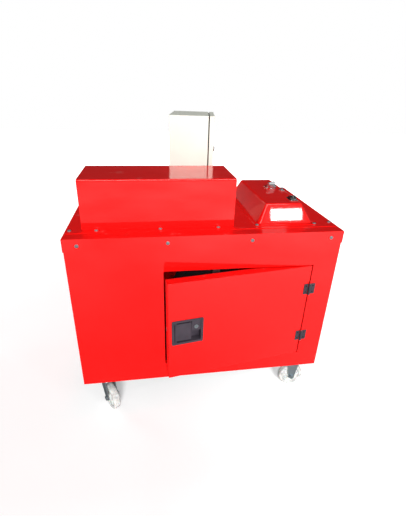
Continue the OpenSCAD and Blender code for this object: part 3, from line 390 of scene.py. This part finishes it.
def prism(bm, outline, matrix, low, high):
    """A closed outline of (x, y) points, raised from low to high along the matrix's own Z."""
    bottom = [bm.verts.new(matrix @ Vector((x, y, low))) for x, y in outline]
    top = [bm.verts.new(matrix @ Vector((x, y, high))) for x, y in outline]
    made = [bm.faces.new(bottom[::-1]), bm.faces.new(top)]
    for k in range(len(outline)):
        j = (k + 1) % len(outline)
        made.append(bm.faces.new((bottom[k], bottom[j], top[j], top[k])))
    bmesh.ops.recalc_face_normals(bm, faces=made)
    return made


def rounded(width, height, radius, steps=4):
    """The outline of a rectangle with round corners, about its middle."""
    points = []
    for cx, cy, start in ((1, 1, 0), (-1, 1, 90), (-1, -1, 180), (1, -1, 270)):
        for i in range(steps + 1):
            angle = radians(start + 90 * i / steps)
            points.append((cx * (width / 2 - radius) + radius * cos(angle),
                           cy * (height / 2 - radius) + radius * sin(angle)))
    return points


def facing(at, out, up=(0, 0, 1)):
    """A matrix at a point, whose Z looks out and whose Y is up as far as that allows."""
    out = Vector(out).normalized()
    side = Vector(up).cross(out).normalized()
    return Matrix.Translation(at) @ Matrix((side, out.cross(side), out)).transposed().to_4x4()


def mm(*values):
    """Values in mm, as metres."""
    return [v * MM for v in values]


def joint_at(name):
    """A joint's point and its axis."""
    return Vector(JOINT[name]["pos_m"]), Vector(JOINT[name]["axis"]).normalized()


# Wheels: a moulded tyre on a ribbed centre, with a pressed bearing ring round the bore
for corner in ("left_front", "left_rear", "right_front", "right_rear"):
    node = "wheel_" + corner
    body = BODY_OF[node]
    centre, axle = joint_at(corner + "_wheel_spin")
    tyre = [(36.2, 9.6), (37.4, 12.3), (39.5, 13.0), (44.0, 13.0), (46.6, 12.4), (48.6, 10.8),
            (49.6, 8.4), (49.98, 5.2), (49.98, 1.6), (49.3, 1.1)]
    web = [(6.1, 15.8), (13.6, 15.8), (14.9, 14.6), (15.3, 6.2), (17.6, 4.6), (30.0, 4.1),
           (34.2, 5.4)]
    outline = web + tyre + [(r, -t) for r, t in (web + tyre)[::-1]]
    bm = bmesh.new()
    lathe(bm, [mm(*p) for p in outline], centre, axle, 72)
    side = axle.cross(Vector((0, 0, 1))).normalized()
    for k in range(6):
        spoke = Matrix.Rotation(k * pi / 3, 3, axle) @ side
        for face in (-1, 1):
            prism(bm, [mm(*p) for p in ((-1.7, -11), (1.7, -11), (2.6, 11.2), (-2.6, 11.2))],
                  facing(centre + spoke * 25.5 * MM, axle * face, spoke), 3.5 * MM, 8.8 * MM)
    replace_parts(place(bm, node + "_moulded", body, "wheel_nylon"), node)
    bm = bmesh.new()
    ring = ((8.0, 15.7), (12.6, 15.7), (12.6, 16.1), (11.6, 16.4), (8.0, 16.4))
    for face in (-1, 1):
        lathe(bm, [mm(r, face * t) for r, t in ring], centre, axle, 40)
    place(bm, node + "_bearing_ring", body, "zinc")

# Caster bolts: hexagon heads and washers under each plate's four holes
BOLT_SPACING = (38, 32)
PLATE_T = 3
plate_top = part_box("caster_plates")[1][2]
washer = [mm(r, t) for r, t in ((0.2, 0), (8, 0), (8, 0.9), (7.4, 1.3), (0.2, 1.3))]
thread_end = [mm(r, t) for r, t in ((0.2, 4.3), (4.0, 4.3), (4.0, 5.4), (3.4, 6.0), (0.2, 6.0))]
hexagon = [mm(7.0 * cos(pi / 3 * k), 7.0 * sin(pi / 3 * k)) for k in range(6)]
bm = bmesh.new()
for name in ("front_caster_swivel", "rear_caster_swivel",
             "right_front_wheel_spin", "right_rear_wheel_spin"):
    centre = joint_at(name)[0]
    for sx in (-1, 1):
        for sy in (-1, 1):
            at = (centre.x + sx * BOLT_SPACING[0] * MM, centre.y + sy * BOLT_SPACING[1] * MM,
                  plate_top - PLATE_T * MM)
            lathe(bm, washer, at, (0, 0, -1), 28)
            prism(bm, hexagon, facing(at, (0, 0, -1), (0, 1, 0)), 1.2 * MM, 4.4 * MM)
            lathe(bm, thread_end, at, (0, 0, -1), 20)
place(bm, "caster_bolts", "cabinet", "zinc")

# Hinge screws: a low domed head in each countersunk hole of the leaves
LEAF_HALF = 21
SCREW_AT = (13, 3.0, 12)
pin = joint_at("front_door_hinge")[0]
opened = -radians(JOINT["front_door_hinge"]["range_deg"][0])
low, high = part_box("fixed_hinge_leaves")
dome = [mm(r, t) for r, t in ((0.1, -0.3), (2.9, -0.3), (2.9, 0.25), (2.3, 0.75), (1.1, 1.05),
                              (0.1, 1.1))]
for side, body in ((1, "cabinet"), (-1, "front_door")):
    bm = bmesh.new()
    turned = Matrix.Rotation(opened if side < 0 else 0.0, 4, "Z")
    for middle in (low[2] + LEAF_HALF * MM, high[2] - LEAF_HALF * MM):
        for up in (-1, 1):
            at = Vector((pin.x, pin.y, 0)) + turned @ Vector(mm(side * SCREW_AT[0], SCREW_AT[1], 0))
            at.z = middle + up * SCREW_AT[2] * MM
            lathe(bm, dome, at, turned @ Vector((0, -1, 0)), 24)
    place(bm, "hinge_screws_" + ("fixed" if side > 0 else "door"), body, "gloss_black")

# Louvre hoods: a pressed quarter-round scoop over each slot of the rear panel
LOUVRES = 9
LOUVRE_PITCH = 20
LOUVRE_FOOT = 250
LOUVRE_SIDE = 200
low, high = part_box("rear_panel")
scoop = [(0.0, -1.6), (5.4, -1.0), (5.9, 1.4), (5.3, 4.6), (3.7, 7.2), (1.6, 8.9), (0.0, 9.5),
         (0.0, 8.4), (1.2, 7.9), (2.9, 6.4), (4.3, 4.1), (4.8, 1.4), (4.5, 0.0), (0.0, -0.6)]
bm = bmesh.new()
for column in (-1, 1):
    for row in range(LOUVRES):
        foot = low[2] + (LOUVRE_FOOT + LOUVRE_PITCH * row) * MM
        middle = (low[0] + high[0]) / 2 + column * LOUVRE_SIDE * MM
        for start, stop, outline in ((-83, 83, scoop), (-84.2, -82.8, scoop[:7]),
                                     (82.8, 84.2, scoop[:7])):
            here = Matrix.Translation((middle, high[1], foot)) @ Matrix(
                ((0, 0, 1), (1, 0, 0), (0, 1, 0))).to_4x4()
            prism(bm, [mm(y, z) for y, z in outline], here, start * MM, stop * MM)
place(bm, "louvre_hoods", "cabinet", "red_paint")

# Strap coil: rows of strap side by side on a wound paper core, with stepped flanks
ROWS = 12
CORE_R = 103.0
FLANK_STEP = 8
low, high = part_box("strap_coil")
hub = joint_at("reel_spin")[0]
width = high[1] - low[1]
outer = (high[0] - low[0]) / 2
flank = [(outer - (k * FLANK_STEP + 0.5 * (k % 2)) * MM, 0.5 * MM * (k % 2))
         for k in range(1, 6)]
outline = [(CORE_R * MM, width)] + [(r, width - t) for r, t in flank[::-1]]
for row in range(ROWS, 0, -1):
    top, foot = width * row / ROWS, width * (row - 1) / ROWS
    worn = 0.35 * MM * ((row * 7) % 5) / 4
    outline += [(outer - 0.9 * MM, top - 0.15 * MM), (outer - worn, top - 0.9 * MM),
                (outer - worn, foot + 0.9 * MM), (outer - 0.9 * MM, foot + 0.15 * MM)]
outline += flank + [(CORE_R * MM, 0.0)]
bm = bmesh.new()
lathe(bm, outline, (hub.x, low[1], hub.z), (0, 1, 0), 128)
coil = place(bm, "strap_coil_wound", BODY_OF["strap_coil"], "strap")
bm = bmesh.new()
lathe(bm, [mm(100.05, 0.6), mm(102.9, 0.6), (102.9 * MM, width - 0.6 * MM),
           (100.05 * MM, width - 0.6 * MM)], (hub.x, low[1], hub.z), (0, 1, 0), 96)
tube = place(bm, "strap_coil_core", BODY_OF["strap_coil"], "strap")
tube.data.materials.clear()
tube.data.materials.append(moulded("core_board", (0.42, 0.27, 0.15), 0.8, 500.0, 0.8))
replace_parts(coil, "strap_coil")

# Selector: a pointer line on the grip, ridges round the skirt and three marks on the box
knob = joint_at("selector_turn")[0]
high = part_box("selector_knob")[1]
RIDGES = 48
bm = bmesh.new()
for k in range(RIDGES):
    angle = 2 * pi * k / RIDGES
    out = Vector((cos(angle), sin(angle), 0))
    at = Vector((knob.x, knob.y, high[2] - 19.2 * MM)) + out * 18.9 * MM
    prism(bm, [mm(*p) for p in ((-0.8, 0), (0.8, 0), (0.8, 5.6), (-0.8, 5.6))],
          facing(at, out), 0.0, 0.55 * MM)
place(bm, "knob_ridges", "knob", "chrome")
bm = bmesh.new()
grip = Matrix.Translation((knob.x, knob.y, high[2])) @ Matrix.Rotation(radians(20), 4, "Z")
prism(bm, rounded(14 * MM, 1.8 * MM, 0.8 * MM), grip @ Matrix.Translation((-8.5 * MM, 0, 0)),
      -0.2 * MM, 0.15 * MM)
place(bm, "knob_pointer", "knob", "gloss_black")
bm = bmesh.new()
for turn in (-60, 0, 60):
    around = Matrix.Translation((knob.x, knob.y, knob.z)) @ Matrix.Rotation(
        radians(200 + turn), 4, "Z")
    prism(bm, rounded(7 * MM, 1.6 * MM, 0.7 * MM), around @ Matrix.Translation((28 * MM, 0, 0)),
          -0.1 * MM, 0.12 * MM)
place(bm, "knob_marks", "cabinet", "cream_paint")

# Rocker: a raised bar and a raised ring on its two ends
tip = joint_at("rocker_tilt")[0]
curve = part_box("rocker_switch")[1][2] - tip.z
bm = bmesh.new()
for lean, kind in ((-27, "bar"), (27, "ring")):
    out = Vector((0, sin(radians(lean)), cos(radians(lean))))
    at = tip + out * curve
    if kind == "bar":
        prism(bm, rounded(1.4 * MM, 6 * MM, 0.6 * MM), facing(at, out, (0, 1, 0)),
              -0.4 * MM, 0.15 * MM)
    else:
        lathe(bm, [mm(r, t) for r, t in ((2.2, -0.6), (3.3, -0.6), (3.3, 0.05), (2.2, 0.05))],
              at, out, 32)
place(bm, "rocker_marks", "rocker", "cream_paint")

# Enclosure: the contactors' stepped fronts and the terminals' screws
lock, ahead = joint_at("enclosure_lock_turn")
across = Vector((-ahead.y, ahead.x, 0))
room = lock - ahead * 63 * MM + across * 101 * MM
floor_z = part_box("enclosure_body")[0][2]
inside = {"fronts": bmesh.new(), "screws": bmesh.new()}
for i in range(3):
    middle = -84 + i * 52 + 22.5
    for dy, dz, w, h, out in ((0, 148, 30, 34, 5.0), (0, 148, 12, 16, 8.0), (0, 173, 43, 14, 1.6),
                              (0, 122, 43, 14, 1.6)):
        at = room + ahead * 0.4 * MM + across * (middle + dy) * MM
        at.z = floor_z + dz * MM
        prism(inside["fronts"], rounded(w * MM, h * MM, 1.5 * MM), facing(at, ahead), -0.4 * MM,
              out * MM)
    for dy in (-14, 0, 14):
        for dz in (122, 173):
            at = room + ahead * 2.0 * MM + across * (middle + dy) * MM
            at.z = floor_z + dz * MM
            lathe(inside["screws"], [mm(r, t) for r, t in ((0.1, -0.4), (3.4, -0.4), (3.4, 0.7),
                                                          (2.6, 1.2), (0.1, 1.3))], at, ahead, 20)
for i in range(7):
    for dz in (52, 76):
        at = room + ahead * -30.0 * MM + across * (12 + 10 * i + 4.75) * MM
        at.z = floor_z + dz * MM
        lathe(inside["screws"], [mm(r, t) for r, t in ((0.1, -0.4), (2.6, -0.4), (2.6, 0.6),
                                                      (2.0, 1.0), (0.1, 1.1))], at, ahead, 16)
place(inside["fronts"], "contactor_fronts", "cabinet", "gloss_black")
place(inside["screws"], "terminal_screws", "cabinet", "brass")


# ---------------------------------------------------------------- stage, light and camera

def area_light(name, at, aim, size, watts):
    """A rectangular lamp that the camera does not see."""
    light = bpy.data.lights.new(name, "AREA")
    light.shape = "RECTANGLE"
    light.size, light.size_y = size
    light.energy = watts
    obj = link_new(name, light)
    obj.location = at
    obj.rotation_euler = (Vector(aim) - Vector(at)).to_track_quat("-Z", "Y").to_euler()
    obj.visible_camera = False
    return obj


def studio_sky():
    """Pale behind the object, softly lit in front, and dark high up behind, as in a workshop."""
    world = bpy.data.worlds.new("studio")
    world.use_nodes = True
    s = Shader.__new__(Shader)
    s.tree = world.node_tree
    s.space = s.node("ShaderNodeTexCoord").outputs["Generated"]
    aim = s.parts(s.space)
    high = s.span(aim["Z"], 0.0, 1.0, 0.02, 0.15)
    behind = s.span(aim["Y"], 0.0, 1.0, -0.35, 0.25)
    sky = s.span(s.add(high, behind, "MULTIPLY"), SKY_FRONT, SKY_BEHIND, 0.0, 1.0)
    seen = s.node("ShaderNodeLightPath").outputs["Is Camera Ray"]
    s.link(s.add(sky, seen, "MAXIMUM"), s.tree.nodes["Background"].inputs["Strength"])
    s.tree.nodes["Background"].inputs["Color"].default_value = (1.0, 1.0, 1.0, 1.0)
    bpy.context.scene.world = world


def floor_shader():
    """Pale floor, lighter far off and ahead, and darker in the object's gloss."""
    s = Shader("floor")
    path = s.node("ShaderNodeLightPath").outputs
    pale = s.ramp(s.noise(2.0), [(0.3, (0.80, 0.80, 0.80)), (0.7, (0.84, 0.84, 0.84))])
    spot = s.parts(s.space)
    ahead = s.span(spot["Y"], 1.0, 0.0, -2.0, -0.55)
    lit = s.add(s.add(ahead, s.span(s.noise(1.1, 3.0), 0.25, 0.8), "MULTIPLY"),
                s.span(spot["X"], 0.0, 0.25, -0.2, 0.6))
    away = s.node("ShaderNodeVectorMath", operation="LENGTH")
    s.link(s.space, away.inputs[0])
    shown = s.span(away.outputs["Value"], FLOOR_GLOW, FLOOR_GLOW_FAR, 1.2, 4.0)
    s.wire(Base_Color=s.mix(path["Is Glossy Ray"], pale, (0.18, 0.18, 0.18)),
           Emission_Strength=s.add(s.add(shown, path["Is Camera Ray"], "MULTIPLY"), lit))
    s.set(Roughness=0.8, Specular_IOR_Level=0.1, Emission_Color=(1.0, 1.0, 1.0, 1.0))
    return s.material


def stage():
    """The floor, the sky and the lamps."""
    mesh = bpy.data.meshes.new("floor")
    corners = [(x * FLOOR_HALF, y * FLOOR_HALF, 0) for x, y in ((-1, -1), (1, -1), (1, 1), (-1, 1))]
    mesh.from_pydata(corners, [], [(0, 1, 2, 3)])
    mesh.materials.append(floor_shader())
    link_new("floor", mesh)
    studio_sky()
    bpy.context.scene.view_settings.view_transform = "Standard"
    sun = bpy.data.lights.new("daylight", "SUN")
    sun.energy = SUN_STRENGTH
    sun.angle = radians(SUN_SPREAD)
    obj = link_new("daylight", sun)
    obj.rotation_euler = Vector(SUN_FROM).to_track_quat("Z", "Y").to_euler()
    obj.visible_glossy = False
    area_light("window", (1.151, -1.83, 2.06), (1.151, -0.261, 0.819), (0.32, 0.11), 5.0)
    sheen = area_light("sheen", (0.0, -1.3, 3.4), (0.0, -0.2, 0.8), (3.0, 1.6), 55.0)
    sheen.visible_diffuse = False
    for side, name in ((-1, "rear_left"), (1, "rear_right")):
        rear = area_light(name, (side * 3.2, 2.2, 1.0), (0, 0, 0.5), (1.2, 1.6), 38.0)
        rear.visible_glossy = False


def camera():
    """The camera, turned from level by its three angles."""
    data = bpy.data.cameras.new("camera")
    data.lens = CAMERA_LENS
    data.clip_start = 0.05
    obj = link_new("camera", data)
    obj.matrix_world = (Matrix.Translation(CAMERA_AT)
                        @ Matrix.Rotation(-radians(CAMERA_RIGHT), 4, "Z")
                        @ Matrix.Rotation(radians(90 - CAMERA_DOWN), 4, "X")
                        @ Matrix.Rotation(radians(CAMERA_ROLL), 4, "Z"))
    bpy.context.scene.camera = obj


stage()
camera()
